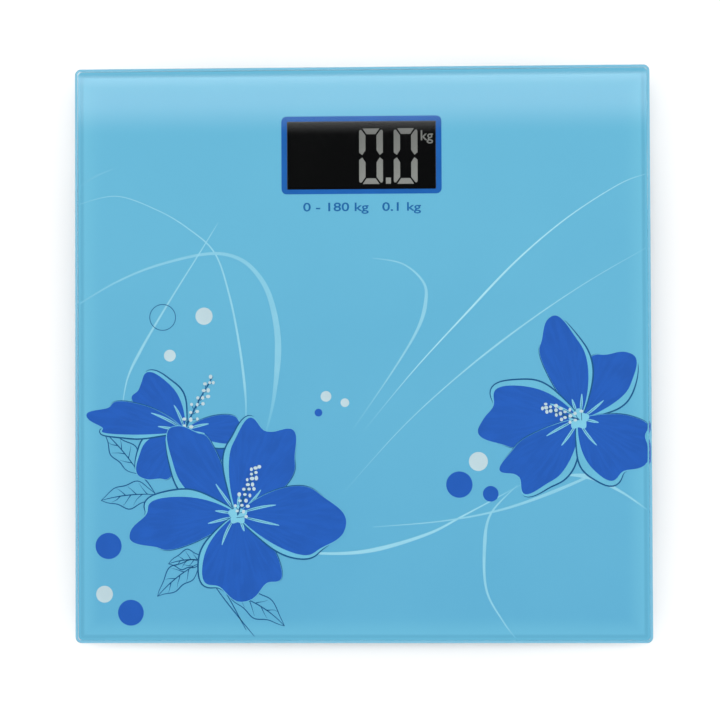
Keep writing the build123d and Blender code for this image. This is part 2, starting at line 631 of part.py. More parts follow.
# ================= weighing feet =================
for foot in feet:
    with BuildPart() as foot_base:
        with BuildSketch(foot_plane(foot, FOOT_BOTTOM)):
            Circle(FOOT_DIAMETER / 2)
        extrude(amount=tape_bottom - FOOT_BOTTOM)
        fillet(foot_base.faces().sort_by(Axis.Z)[0].edges(), FOOT_LIP)
        with BuildSketch(foot_plane(foot, FOOT_BOTTOM)):
            Circle(FOOT_DIAMETER / 2 - FOOT_WALL - FOOT_LIP)
        extrude(amount=FOOT_ROOF - FOOT_BOTTOM, mode=Mode.SUBTRACT)
        with BuildSketch(foot_plane(foot, lip_top)):
            Circle(FOOT_DIAMETER / 2 - FOOT_WALL)
        extrude(amount=FOOT_ROOF - lip_top, mode=Mode.SUBTRACT)
        # square rim that holds the cell, and the seat that its frame bears against
        pocket = CELL_PLATE + 2 * RIM_GAP
        with BuildSketch(foot_plane(foot, CELL_PLATE_BOTTOM - HOOK_REACH / 2)):
            RectangleRounded(pocket + 2 * RIM_WALL, pocket + 2 * RIM_WALL, CELL_CORNER + RIM_WALL)
            RectangleRounded(pocket, pocket, CELL_CORNER, mode=Mode.SUBTRACT)
        extrude(amount=FOOT_ROOF - CELL_PLATE_BOTTOM + HOOK_REACH / 2)
        with BuildSketch(foot_plane(foot, cell_top)):
            RectangleRounded(pocket + RIM_WALL, pocket + RIM_WALL, CELL_CORNER)
            Rectangle(SEAT_INNER, SEAT_INNER, mode=Mode.SUBTRACT)
        extrude(amount=FOOT_ROOF - cell_top)
        with BuildSketch(foot_plane(foot, CELL_PLATE_BOTTOM - HOOK_REACH / 2)):
            with PolarLocations(pocket / 2 + RIM_WALL / 2 - HOOK_REACH / 2, 4):
                Rectangle(RIM_WALL + HOOK_REACH, HOOK_LENGTH)
        extrude(amount=HOOK_REACH / 2)
        # way out for the wires
        with BuildSketch(foot_plane(foot, cell_top)):
            notch_run = FOOT_DIAMETER / 2 - NOTCH_START + 2 * NOTCH_MARGIN
            with Locations((NOTCH_START + notch_run / 2, 0)):
                Rectangle(notch_run, NOTCH_WIDTH)
        extrude(amount=tape_bottom - cell_top, mode=Mode.SUBTRACT)
    foot_base.part.label = f"foot_base_{foot}"
    export_step(foot_base.part, f"parts/foot_base_{foot}.step")

    # steel cell: a square frame, and a tongue on one beam that carries two loaded arms
    with BuildPart() as load_cell:
        with BuildSketch(foot_plane(foot, CELL_PLATE_BOTTOM)):
            RectangleRounded(CELL_PLATE, CELL_PLATE, CELL_CORNER)
            Rectangle(CELL_OPENING, CELL_OPENING, mode=Mode.SUBTRACT)
            beam_length = CELL_OPENING / 2 + ARM_OUTER
            with Locations((CELL_OPENING / 2 - beam_length / 2, 0)):
                Rectangle(beam_length, 2 * BEAM_HALF)
            with Locations((BRIDGE_LENGTH / 2 - ARM_OUTER, 0)):
                Rectangle(BRIDGE_LENGTH, 2 * ARM_OUTER)
            arm_y = (ARM_OUTER + ARM_INNER) / 2
            with Locations((0, arm_y), (0, -arm_y)):
                Rectangle(2 * ARM_OUTER, ARM_OUTER - ARM_INNER)
        extrude(amount=CELL_PLATE_THICKNESS)
    load_cell.part.label = f"load_cell_{foot}"
    export_step(load_cell.part, f"parts/load_cell_{foot}.step")

    with BuildPart() as foot_cap:
        with BuildSketch(foot_plane(foot, CAP_BOTTOM)):
            Circle(CAP_DIAMETER / 2)
        extrude(amount=CAP_FLANGE_BOTTOM - CAP_BOTTOM)
        fillet(foot_cap.faces().sort_by(Axis.Z)[0].edges(), CAP_WALL)
        with BuildSketch(foot_plane(foot, CAP_FLANGE_BOTTOM)):
            Circle(CAP_FLANGE_DIAMETER / 2)
        extrude(amount=CAP_FLANGE_THICKNESS)
        with BuildSketch(foot_plane(foot, CAP_BOTTOM + CAP_THICKNESS)):
            Circle(CAP_DIAMETER / 2 - CAP_WALL)
        extrude(amount=CAP_FLANGE_BOTTOM - CAP_BOTTOM, mode=Mode.SUBTRACT)
        with BuildSketch(foot_plane(foot, CAP_BOTTOM)):
            Circle(PAD_DIAMETER / 2 + FIT_GAP)
        extrude(amount=PAD_THICKNESS - CAP_BOTTOM, mode=Mode.SUBTRACT)
        # cross rib with the two studs that press on the arms of the cell
        with BuildSketch(foot_plane(foot, CAP_BOTTOM + CAP_THICKNESS)):
            Rectangle(CAP_WALL, CAP_DIAMETER - CAP_WALL)
            Rectangle(CAP_DIAMETER - CAP_WALL, CAP_WALL)
        extrude(amount=CAP_RIB_TOP - CAP_BOTTOM - CAP_THICKNESS)
        with BuildSketch(foot_plane(foot, CAP_BOTTOM + CAP_THICKNESS)):
            with Locations((0, arm_y), (0, -arm_y)):
                Rectangle(STUD_LENGTH, STUD_WIDTH)
        extrude(amount=CELL_PLATE_BOTTOM - CAP_BOTTOM - CAP_THICKNESS)
    foot_cap.part.label = f"foot_cap_{foot}"
    export_step(foot_cap.part, f"parts/foot_cap_{foot}.step")

    with BuildPart() as foot_pad:
        with BuildSketch(foot_plane(foot)):
            Circle(PAD_DIAMETER / 2)
        extrude(amount=PAD_THICKNESS)
        fillet(foot_pad.faces().sort_by(Axis.Z)[0].edges(), PAD_GROOVE_DEPTH)
        for groove in PAD_GROOVES:
            with BuildSketch(foot_plane(foot)):
                Circle(groove + PAD_GROOVE_WIDTH / 2)
                Circle(groove - PAD_GROOVE_WIDTH / 2, mode=Mode.SUBTRACT)
            extrude(amount=PAD_GROOVE_DEPTH, mode=Mode.SUBTRACT)
    foot_pad.part.label = f"foot_pad_{foot}"
    export_step(foot_pad.part, f"parts/foot_pad_{foot}.step")

    with BuildPart() as wire_channel:
        run = channel_length[foot] - channel_start
        with BuildSketch(foot_plane(foot, film_bottom - CHANNEL_HEIGHT)):
            with Locations((channel_start + run / 2, 0)):
                Rectangle(run, CHANNEL_WIDTH)
        extrude(amount=CHANNEL_HEIGHT)
        fillet(wire_channel.faces().sort_by(Axis.Z)[0].edges().filter_by(GeomType.LINE).sort_by(
            SortBy.LENGTH)[-2:], CHANNEL_WALL)
        with BuildSketch(foot_plane(foot, film_bottom - CHANNEL_HEIGHT + CHANNEL_WALL)):
            with Locations((channel_start + run / 2, 0)):
                Rectangle(run, CHANNEL_WIDTH - 2 * CHANNEL_WALL)
        extrude(amount=CHANNEL_HEIGHT - CHANNEL_WALL, mode=Mode.SUBTRACT)
    wire_channel.part.label = f"wire_channel_{foot}"
    export_step(wire_channel.part, f"parts/wire_channel_{foot}.step")

with BuildPart() as foot_tapes:
    for foot in feet:
        with BuildSketch(foot_plane(foot, tape_bottom)):
            Circle(TAPE_DISC / 2)
        extrude(amount=TAPE_THICKNESS)
foot_tapes.part.label = "foot_tapes"
export_step(foot_tapes.part, "parts/foot_tapes.step")

with BuildPart() as gauge_potting:
    for foot in feet:
        with BuildSketch(foot_plane(foot, cell_top)):
            RectangleRounded(POTTING_LENGTH, POTTING_WIDTH, POTTING_HEIGHT)
        extrude(amount=POTTING_HEIGHT)
gauge_potting.part.label = "gauge_potting"
export_step(gauge_potting.part, "parts/gauge_potting.step")

# ================= wires =================
# Each cell has a red, a black and a white wire. They leave its potting side by side, rise to
# the film, run in the channel to the housing, and drop to their pads on the circuit board.
wire_low = cell_top + POTTING_HEIGHT / 2


def add_wire(points, bend):
    """One wire along straight runs with round bends, in the part that is being built."""
    with BuildLine():
        route = FilletPolyline(*points, radius=bend)
    with BuildSketch(Plane(origin=route @ 0, z_dir=route % 0)) as end:
        Circle(WIRE_DIAMETER / 2)
    sweep(end.sketch, path=route)
    section = pi * (WIRE_DIAMETER / 2) ** 2
    print(f"wire length {route.length:.1f} bend {bend} volume by length {section * route.length:.1f}")


def foot_point(foot, reach, side, height):
    return foot_plane(foot).from_local_coords(Vector(reach, side, height))


def wire_points(foot, side):
    """The route of the wire that lies a distance `side` beside the middle one."""
    points = [
        foot_point(foot, POTTING_LENGTH / 2, side, wire_low),
        foot_point(foot, RISE_START, side, wire_low),
        foot_point(foot, RISE_END, side, WIRE_Z),
    ]
    if foot.startswith("r"):
        pad_reach = FOOT_OFFSET - REAR_PAD_X
        points += [
            foot_point(foot, pad_reach - DROP_RUN, side, WIRE_Z),
            foot_point(foot, pad_reach, side, DROP_Z),
            foot_point(foot, pad_reach, side, board_top),
        ]
        return points
    # the front wires turn parallel to Y inside the housing, each keeping its distance
    turn = foot_point(foot, hypot(FRONT_TURN_X - FOOT_OFFSET, FRONT_TURN_Y + FOOT_OFFSET), 0, WIRE_Z)
    first_normal = foot_plane(foot).y_dir
    second_normal = Vector(-1, 0, 0)
    shift = (first_normal + second_normal) * (side / (1 + first_normal.dot(second_normal)))
    corner = turn + shift
    points += [
        corner,
        Vector(corner.X, FRONT_PAD_Y - DROP_RUN, WIRE_Z),
        Vector(corner.X, FRONT_PAD_Y, DROP_Z),
        Vector(corner.X, FRONT_PAD_Y, board_top),
    ]
    return points


for colour, side in (("red", -WIRE_PITCH), ("black", 0.0), ("white", WIRE_PITCH)):
    with BuildPart() as wires:
        for foot in feet:
            add_wire(wire_points(foot, side), WIRE_BEND)
    wires.part.label = f"cell_wires_{colour}"
    export_step(wires.part, f"parts/cell_wires_{colour}.step")

for colour, cell, tab_z, lead_x in (
    ("red", 1, POSITIVE_TAB_Z, contact_x + LEAD_OFFSET),
    ("black", 2, NEGATIVE_TAB_Z, contact_x + LEAD_OFFSET + 2 * WIRE_DIAMETER),
):
    with BuildPart() as lead:
        lead_z = tab_z + CONTACT_THICKNESS + WIRE_DIAMETER / 2
        add_wire([
            Vector(lead_x, cell_y[cell], lead_z),
            Vector(lead_x, FRONT_PAD_Y, lead_z),
            Vector(lead_x, FRONT_PAD_Y, board_top),
        ], WIRE_DIAMETER)
    lead.part.label = f"battery_lead_{colour}"
    export_step(lead.part, f"parts/battery_lead_{colour}.step")
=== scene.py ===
import json
import random
from math import cos, pi, radians, sin

import bmesh
import bpy
from mathutils import Matrix, Vector


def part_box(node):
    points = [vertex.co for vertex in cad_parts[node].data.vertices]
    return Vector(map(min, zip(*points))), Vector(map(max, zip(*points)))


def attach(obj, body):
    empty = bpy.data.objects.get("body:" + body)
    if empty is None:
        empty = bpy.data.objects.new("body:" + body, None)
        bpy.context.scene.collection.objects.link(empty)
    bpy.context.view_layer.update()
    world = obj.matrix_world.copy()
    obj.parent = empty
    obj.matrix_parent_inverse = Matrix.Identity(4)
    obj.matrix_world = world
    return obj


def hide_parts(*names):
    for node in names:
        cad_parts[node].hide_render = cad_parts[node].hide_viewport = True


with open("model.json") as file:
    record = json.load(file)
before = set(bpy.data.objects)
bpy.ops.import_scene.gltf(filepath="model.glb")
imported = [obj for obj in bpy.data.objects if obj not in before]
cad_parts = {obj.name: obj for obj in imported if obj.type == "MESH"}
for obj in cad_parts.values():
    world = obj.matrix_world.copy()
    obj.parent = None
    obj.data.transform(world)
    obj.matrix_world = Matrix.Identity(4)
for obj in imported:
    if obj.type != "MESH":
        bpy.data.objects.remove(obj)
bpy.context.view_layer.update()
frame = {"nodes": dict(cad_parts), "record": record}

# A square glass body-weight scale. The glass, the housing and all that is inside it are CAD
# nodes with new materials. The print on the underside of the glass is made here: a sky-blue
# sheet, and flowers, leaves, swirls and dots as thin layers of ink, each a little higher than
# the one below it. Places on the plate are in millimetres from its middle.

rng = random.Random(28)

MM = 0.001
INK_STEP = 0.004
film_low, film_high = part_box("printed_film")
window_low, window_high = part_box("window_gasket")
_, polariser_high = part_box("lcd_front_polariser")
SHEET_HALF = film_high.x / MM
SHEET_TOP = film_high.z / MM + 0.03
# how far inside the outline of the window gasket the print's opening lies on each side
SIDE_LIP = 2.7
NEAR_LIP = 3.0
FAR_LIP = 2.5
WINDOW_X = window_high.x / MM - SIDE_LIP
WINDOW_LOW_Y = window_low.y / MM + NEAR_LIP
WINDOW_HIGH_Y = window_high.y / MM - FAR_LIP
WINDOW_CORNER = 0.3
SHEET_CORNER = 1.8
DISPLAY_TOP = polariser_high.z / MM


# ================= node graphs =================
class Graph:
    """A node tree, with short ways to add nodes and to link them."""

    def __init__(self, tree):
        self.tree = tree

    def add(self, kind, inputs=(), **settings):
        node = self.tree.nodes.new(kind)
        for name, value in settings.items():
            setattr(node, name, value)
        for socket, value in dict(inputs).items():
            self.put(value, node.inputs[socket])
        return node

    def put(self, value, socket):
        if isinstance(value, bpy.types.NodeSocket):
            self.tree.links.new(value, socket)
        else:
            socket.default_value = value

    def math(self, operation, *values):
        return self.add("ShaderNodeMath", enumerate(values), operation=operation).outputs[0]

    def fit(self, value, low, high, to_low=0.0, to_high=1.0):
        """The value's place between low and high, as a place between to_low and to_high."""
        inputs = {"Value": value, "From Min": low, "From Max": high,
                  "To Min": to_low, "To Max": to_high}
        return self.add("ShaderNodeMapRange", inputs, interpolation_type="SMOOTHSTEP").outputs[0]

    def mix(self, share, first, second):
        node = self.add("ShaderNodeMix", {0: share, 6: first, 7: second}, data_type="RGBA")
        return node.outputs[2]

    def noise(self, vector, scale, detail=3.0, stretch=None):
        if stretch:
            vector = self.add("ShaderNodeMapping", {"Vector": vector, "Scale": stretch}).outputs[0]
        inputs = {"Vector": vector, "Scale": scale, "Detail": detail}
        return self.add("ShaderNodeTexNoise", inputs).outputs[0]

    def place(self):
        """The point on the object, which is also its place in the shared frame, in metres."""
        return self.add("ShaderNodeTexCoord").outputs["Object"]

    def split(self, vector):
        return self.add("ShaderNodeSeparateXYZ", {0: vector}).outputs

    def bump(self, height, depth):
        inputs = {"Height": height, "Distance": depth, "Strength": 1.0}
        return self.add("ShaderNodeBump", inputs).outputs[0]


def new_material(name, **sockets):
    """A material, its graph and its Principled shader with these constants set."""
    material = bpy.data.materials.new(name)
    material.use_nodes = True
    shader = material.node_tree.nodes["Principled BSDF"]
    for socket, value in sockets.items():
        shader.inputs[socket.replace("_", " ")].default_value = value
    return material, Graph(material.node_tree), shader


def shade(colour, share):
    """The colour made lighter or darker by a share, as a full RGBA value."""
    return (*(min(1.0, max(0.0, c * share)) for c in colour[:3]), 1.0)


# ================= camera, light and floor =================
CAMERA_PLACE = (0.0306, -0.0208, 1.0)
CAMERA_TURN = (1.1327, 1.8537, -0.2236)
CAMERA_LENS = 100.66
DOME_LIGHT = 1.08
HORIZON_LIGHT = 0.25
END_LIGHT = 0.5
SIDE_LIGHT = 1.0
PANEL_EDGE_LIGHT = 2.6
PANEL_CREST_LIGHT = 3.2
OVERHEAD_LIGHT = 0.03
# Each pair is where a change of light starts and where it ends. The places are distances from
# straight up divided by height. Those past 0.25 are not mirrored to the camera by the glass.
DARK_TOP = (0.19, 0.34)
PANEL_EDGE = (0.1305, 0.149)
PANEL_CREST = (0.154, 0.166)
GAP_START = (0.1590, 0.1624)
GAP_END = (0.168, 0.172)
PANEL_FAR_SIDE = (0.35, 0.5)
PANEL_SIDES = (0.3, 0.5)
# these two are heights on the dome, where the horizon is 0 and straight up is 1
HORIZON = (0.05, 0.35)
LOWEST_UP = 0.05


def add_camera():
    data = bpy.data.cameras.new("camera")
    data.lens = CAMERA_LENS
    data.sensor_width = 36.0
    camera = bpy.data.objects.new("camera", data)
    camera.location = CAMERA_PLACE
    camera.rotation_euler = [radians(angle) for angle in CAMERA_TURN]
    bpy.context.scene.collection.objects.link(camera)
    bpy.context.scene.camera = camera


def light_world():
    """A soft white dome, dark overhead, and a long bright panel above the display end."""
    world = bpy.data.worlds.new("studio")
    world.use_nodes = True
    bpy.context.scene.world = world
    graph = Graph(world.node_tree)
    x, y, z = graph.split(graph.add("ShaderNodeTexCoord").outputs["Generated"])
    up = graph.math("MAXIMUM", z, LOWEST_UP)
    across = graph.math("DIVIDE", x, up)
    along = graph.math("DIVIDE", y, up)
    from_zenith = graph.math("SQRT", graph.math("ADD", graph.math("MULTIPLY", across, across),
                                                graph.math("MULTIPLY", along, along)))
    sideways = graph.math("POWER", graph.math("DIVIDE", across, from_zenith), 2.0)
    high_dome = graph.math("MULTIPLY", graph.fit(from_zenith, *DARK_TOP, OVERHEAD_LIGHT, DOME_LIGHT),
                           graph.fit(z, *HORIZON, HORIZON_LIGHT, 1.0))
    dome = graph.math("MULTIPLY", high_dome,
                      graph.math("ADD", END_LIGHT, graph.math("MULTIPLY", sideways, SIDE_LIGHT)))
    edge = graph.fit(along, *PANEL_EDGE, 0.0, PANEL_EDGE_LIGHT)
    crest = graph.fit(along, *PANEL_CREST, 0.0, PANEL_CREST_LIGHT)
    far_side = graph.fit(along, *PANEL_FAR_SIDE, 1.0, 0.0)
    sides = graph.fit(graph.math("ABSOLUTE", across), *PANEL_SIDES, 1.0, 0.0)
    # a dark gap in the panel, which the glass mirrors as a line just inside its far rim
    gap = graph.math("ADD", graph.fit(along, *GAP_START, 1.0, 0.0), graph.fit(along, *GAP_END))
    panel = graph.math("MULTIPLY", graph.math("MULTIPLY", graph.math("ADD", edge, crest), gap),
                       graph.math("MULTIPLY", far_side, sides))
    light = graph.math("ADD", dome, panel)
    seen = graph.add("ShaderNodeLightPath").outputs["Is Camera Ray"]
    grey = graph.add("ShaderNodeCombineColor", dict.fromkeys(range(3), light)).outputs[0]
    strength = graph.mix(seen, grey, (1.0, 1.0, 1.0, 1.0))
    background = world.node_tree.nodes["Background"]
    graph.put(strength, background.inputs["Color"])


FLOOR_HALF = 3.0


def add_floor():
    bm = bmesh.new()
    bmesh.ops.create_grid(bm, x_segments=1, y_segments=1, size=FLOOR_HALF)
    mesh = bpy.data.meshes.new("floor")
    bm.to_mesh(mesh)
    bm.free()
    material, graph, shader = new_material("floor_white", Roughness=0.9, Specular_IOR_Level=0.1)
    tone = graph.noise(graph.place(), 3.0)
    white = graph.mix(tone, (0.9, 0.9, 0.9, 1.0), (0.92, 0.92, 0.92, 1.0))
    graph.put(white, shader.inputs["Base Color"])
    mesh.materials.append(material)
    floor = bpy.data.objects.new("floor", mesh)
    bpy.context.scene.collection.objects.link(floor)


# ================= mesh helpers, in millimetres =================
def add_piece(name, bm, material, slot, body="platform"):
    """A piece made from a mesh in millimetres, with its material and body. The slot is not used."""
    bmesh.ops.recalc_face_normals(bm, faces=bm.faces)
    bmesh.ops.scale(bm, vec=(MM, MM, MM), verts=bm.verts)
    mesh = bpy.data.meshes.new(name)
    bm.to_mesh(mesh)
    bm.free()
    mesh.materials.append(material)
    piece = bpy.data.objects.new(name, mesh)
    bpy.context.scene.collection.objects.link(piece)
    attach(piece, body)
    return piece


def smooth(points, steps=12):
    """Points along a smooth curve that goes through the given ones."""
    known = [Vector(p) for p in points]
    known = [known[0], *known, known[-1]]
    curve = []
    for a, b, c, d in zip(known, known[1:], known[2:], known[3:]):
        for i in range(steps):
            t = i / steps
            curve.append(0.5 * (2 * b + (c - a) * t + (2 * a - 5 * b + 4 * c - d) * t ** 2
                                + (3 * b - a - 3 * c + d) * t ** 3))
    return curve + [known[-1]]


def slab(bm, outline, low, high):
    """A flat closed layer with this outline."""
    tops = [bm.verts.new((p[0], p[1], high)) for p in outline]
    bottoms = [bm.verts.new((p[0], p[1], low)) for p in outline]
    bm.faces.new(tops)
    bm.faces.new(bottoms[::-1])
    for i in range(len(outline)):
        bm.faces.new((tops[i - 1], bottoms[i - 1], bottoms[i], tops[i]))


def holed_slab(bm, outer, inner, low, high):
    """A flat closed layer between two outlines that have the same number of points."""
    rings = [[bm.verts.new((p[0], p[1], z)) for p in outline]
             for outline, z in ((outer, high), (inner, high), (inner, low), (outer, low))]
    for first, second in zip(rings, rings[1:] + rings[:1]):
        for i in range(len(outer)):
            bm.faces.new((first[i - 1], first[i], second[i], second[i - 1]))


THINNEST = 0.04


def ribbon(bm, curve, width, low, high, fade=None):
    """A flat closed strip along a curve. Width and fade are functions of the share of its way."""
    layer = bm.verts.layers.float.get("fade") or bm.verts.layers.float.new("fade")
    rows = []
    for i, point in enumerate(curve):
        share = i / (len(curve) - 1)
        ahead = (curve[min(i + 1, len(curve) - 1)] - curve[max(i - 1, 0)]).normalized()
        side = Vector((-ahead.y, ahead.x)) * max(width(share), THINNEST) / 2
        row = [bm.verts.new((*(point + side), high)), bm.verts.new((*(point - side), high)),
               bm.verts.new((*(point - side), low)), bm.verts.new((*(point + side), low))]
        for vert in row:
            vert[layer] = fade(share) if fade else 1.0
        rows.append(row)
    for first, second in zip(rows, rows[1:]):
        for i in range(4):
            bm.faces.new((first[i - 1], first[i], second[i], second[i - 1]))
    bm.faces.new(rows[0])
    bm.faces.new(rows[-1][::-1])


def circle(centre, radius, points=48):
    turns = [2 * pi * i / points for i in range(points)]
    return [(centre[0] + radius * cos(turn), centre[1] + radius * sin(turn)) for turn in turns]


def rounded_box(low, high, radius, arc=8):
    """A rectangle with round corners. Two of them with the same arc have the same point count."""
    corners = ((high[0], high[1], 0), (low[0], high[1], 90),
               (low[0], low[1], 180), (high[0], low[1], 270))
    outline = []
    for x, y, start in corners:
        x += radius if x == low[0] else -radius
        y += radius if y == low[1] else -radius
        for i in range(arc + 1):
            angle = radians(start + 90 * i / arc)
            outline.append((x + radius * cos(angle), y + radius * sin(angle)))
    return outline


# ================= inks =================
# the ink is bonded to the glass, so it has hardly any gloss of its own
INK_SHINE = 0.05
SKY = (0.124, 0.413, 0.596)
# the pale end of the ground's random tone, and also the colour of the painted glow at the rim
SKY_LIGHT = (0.165, 0.49, 0.655)
SKY_DEEP = (0.106, 0.370, 0.567)
# the colour of the painted shade in the dark line at the rim
SKY_RIM_SHADE = (0.070, 0.270, 0.430)
FOLD_BLUE = (0.130, 0.425, 0.600)
PETAL_BLUE = (0.0155, 0.092, 0.413)
LINE_BLUE = (0.010, 0.085, 0.225)
INK_WHITE = (0.47, 0.585, 0.635)
SWIRL_WHITE = (0.44, 0.73, 0.81)
PALE_BLUE = (0.190, 0.500, 0.650)
BORDER_BLUE = (0.011, 0.100, 0.368)
TEXT_BLUE = (0.014, 0.118, 0.325)
# distances inside the rim of the sheet, and shares of the pale band of painted light and the dark line of
# painted shade mixed in there
RIM_GLOW_BAND = (12.0, 2.0)
RIM_GLOW_SHARE = 0.45
RIM_SHADE_START = (3.2, 2.0)
RIM_SHADE_SHARE = 0.4
RIM_SHADE_END = (1.4, 0.6)
RIM_SHADE_REST = 0.35


def ink_material(name, colour, spread=0.05):
    """Flat screen-printed ink: slightly uneven in tone, with a fine dot grain."""
    material, graph, shader = new_material(name, Roughness=0.45, Specular_IOR_Level=INK_SHINE)
    place = graph.place()
    tone = graph.fit(graph.noise(place, 60.0, 4.0), 0.3, 0.7)
    grain = graph.fit(graph.noise(place, 2500.0, 1.0), 0.35, 0.65)
    mottled = graph.mix(tone, shade(colour, 1 - spread), shade(colour, 1 + spread))
    graph.put(graph.mix(graph.math("MULTIPLY", grain, 0.35), mottled, shade(colour, 1 + spread)),
              shader.inputs["Base Color"])
    graph.put(graph.fit(grain, 0.0, 1.0, 0.40, 0.52), shader.inputs["Roughness"])
    return material


def sheet_material():
    """The blue ground: deeper towards the near edge, with a pale band of painted light and a dark line of
    painted shade at the rim.
    """
    def inside(distances):
        return [(SHEET_HALF - distance) * MM for distance in distances]

    material, graph, shader = new_material("print_ground", Roughness=0.45, Specular_IOR_Level=INK_SHINE)
    place = graph.place()
    x, y, _ = graph.split(place)
    slope = graph.fit(y, -SHEET_HALF * MM, SHEET_HALF * MM)
    ground = graph.mix(slope, (*SKY_DEEP, 1.0), (*SKY, 1.0))
    reach = graph.math("MAXIMUM", graph.math("ABSOLUTE", x), graph.math("ABSOLUTE", y))
    # painted light: a pale glow on the ground towards the rim of the glass
    rim_glow = graph.fit(reach, *inside(RIM_GLOW_BAND))
    rim_glowed = graph.mix(graph.math("MULTIPLY", rim_glow, RIM_GLOW_SHARE), ground, (*SKY_LIGHT, 1.0))
    tone = graph.fit(graph.noise(place, 14.0, 5.0), 0.3, 0.7)
    mottled = graph.mix(graph.math("MULTIPLY", tone, 0.12), rim_glowed, (*SKY_LIGHT, 1.0))
    # painted shade: a dark line just inside the rim, where the bevel of the glass darkens the print
    line = graph.math("MULTIPLY", graph.fit(reach, *inside(RIM_SHADE_START), 0.0, RIM_SHADE_SHARE),
                      graph.fit(reach, *inside(RIM_SHADE_END), 1.0, RIM_SHADE_REST))
    rim_shaded = graph.mix(line, mottled, (*SKY_RIM_SHADE, 1.0))
    grain = graph.noise(place, 2200.0, 1.0)
    grained = graph.mix(graph.math("MULTIPLY", grain, 0.08), rim_shaded, (*SKY_DEEP, 1.0))
    graph.put(grained, shader.inputs["Base Color"])
    graph.put(graph.fit(grain, 0.3, 0.7, 0.40, 0.50), shader.inputs["Roughness"])
    return material


def petal_material(name, throat):
    """Petal ink with soft brushed streaks that run out from the flower's throat."""
    material, graph, shader = new_material(name, Roughness=0.45, Specular_IOR_Level=INK_SHINE)
    place = graph.place()
    x, y, _ = graph.split(place)
    east = graph.math("SUBTRACT", x, throat[0] * MM)
    north = graph.math("SUBTRACT", y, throat[1] * MM)
    turn = graph.math("ARCTAN2", north, east)
    reach = graph.math("SQRT", graph.math("ADD", graph.math("MULTIPLY", east, east),
                                          graph.math("MULTIPLY", north, north)))
    polar = graph.add("ShaderNodeCombineXYZ", {0: graph.math("MULTIPLY", turn, 9.0),
                                               1: graph.math("MULTIPLY", reach, 45.0)}).outputs[0]
    streaks = graph.fit(graph.noise(polar, 1.6, 4.0), 0.38, 0.66)
    streaked = graph.mix(streaks, shade(PETAL_BLUE, 0.95), shade(PETAL_BLUE, 1.06))
    tone = graph.fit(graph.noise(place, 90.0, 4.0), 0.42, 0.62)
    graph.put(graph.mix(graph.math("MULTIPLY", tone, 0.3), streaked, shade(PETAL_BLUE, 1.14)),
              shader.inputs["Base Color"])
    graph.put(graph.fit(tone, 0.0, 1.0, 0.40, 0.52), shader.inputs["Roughness"])
    return material


def swirl_material():
    """White ink that thins out to the blue ground where the strip's fade falls to 0."""
    material, graph, shader = new_material("print_swirl", Roughness=0.45, Specular_IOR_Level=INK_SHINE)
    fade = graph.add("ShaderNodeAttribute", attribute_name="fade").outputs["Fac"]
    tone = graph.fit(graph.noise(graph.place(), 120.0, 3.0), 0.3, 0.7, 0.85, 1.0)
    share = graph.math("MULTIPLY", fade, tone)
    graph.put(graph.mix(share, (*SKY, 1.0), (*SWIRL_WHITE, 1.0)), shader.inputs["Base Color"])
    return material


# ================= print: ground, swirls and dots =================
def window_outline():
    return rounded_box((-WINDOW_X, WINDOW_LOW_Y), (WINDOW_X, WINDOW_HIGH_Y), WINDOW_CORNER)


def add_sheet():
    bm = bmesh.new()
    outer = rounded_box((-SHEET_HALF, -SHEET_HALF), (SHEET_HALF, SHEET_HALF), SHEET_CORNER)
    holed_slab(bm, outer, window_outline(), film_low.z / MM, SHEET_TOP)
    sheet = add_piece("printed_sheet", bm, sheet_material(), "print")
    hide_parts("printed_film")


# each swirl: its route, its widest width, where along it that is, and how white it is
SWIRLS = (
    (((-139, 74), (-120, 78), (-100, 71), (-85, 62), (-72, 50), (-65, 30), (-60, 5), (-57, -20),
      (-57, -38)), 1.2, 0.85, 0.50),
    (((-139, 25), (-120, 36), (-100, 44), (-75, 49.5), (-60, 47), (-50, 38), (-44, 25), (-41, 5),
      (-43, -20), (-47, -38)), 3.2, 0.8, 0.34),
    (((-70, 65), (-78, 52), (-95, 25), (-108, 3), (-115, -12), (-118, -30)), 1.4, 0.65, 0.48),
    (((5, 47), (20, 44), (30, 35), (31, 25), (27, 12), (15, -8), (-5, -37)), 1.9, 0.55, 0.42),
    (((138, 87), (125, 82), (100, 66), (75, 45), (50, 19), (25, -8), (0, -38)), 1.05, 0.6, 0.75),
    (((138, 51), (110, 35), (80, 15), (50, -8), (20, -35), (-10, -68)), 0.9, 0.5, 0.50),
    (((-52, -90), (-30, -96), (0, -96), (30, -88), (50, -78), (78, -63)), 2.0, 0.45, 0.55),
    (((5, -84), (40, -81), (70, -75), (100, -64), (130, -50), (138, -47)), 1.6, 0.55, 0.40),
    (((75, -64), (62, -78), (59, -95), (60, -115), (68, -130), (74, -138)), 1.7, 0.35, 0.45),
    (((97, -59), (110, -60), (125, -67), (138, -76)), 2.4, 0.3, 0.48),
    (((-136, -27), (-110, -40), (-85, -68)), 1.0, 0.4, 0.25),
    (((-138, 83), (-130, 88), (-120, 92)), 1.2, 0.5, 0.12),
)


def add_swirls():
    bm = bmesh.new()
    for index, (route, widest, peak, white) in enumerate(SWIRLS):
        def width(share, widest=widest, peak=peak):
            rise = share / peak if share < peak else (1 - share) / (1 - peak)
            return widest * (0.25 + 0.75 * max(rise, 0.0) ** 1.6)

        def fade(share, white=white):
            return white * min(1.0, 0.35 + 5 * share, 6 * (1 - share))

        low = SHEET_TOP - INK_STEP
        ribbon(bm, smooth(route), width, low, SHEET_TOP + (index + 1) * INK_STEP / 4, fade)
    add_piece("print_swirls", bm, swirl_material(), "print")


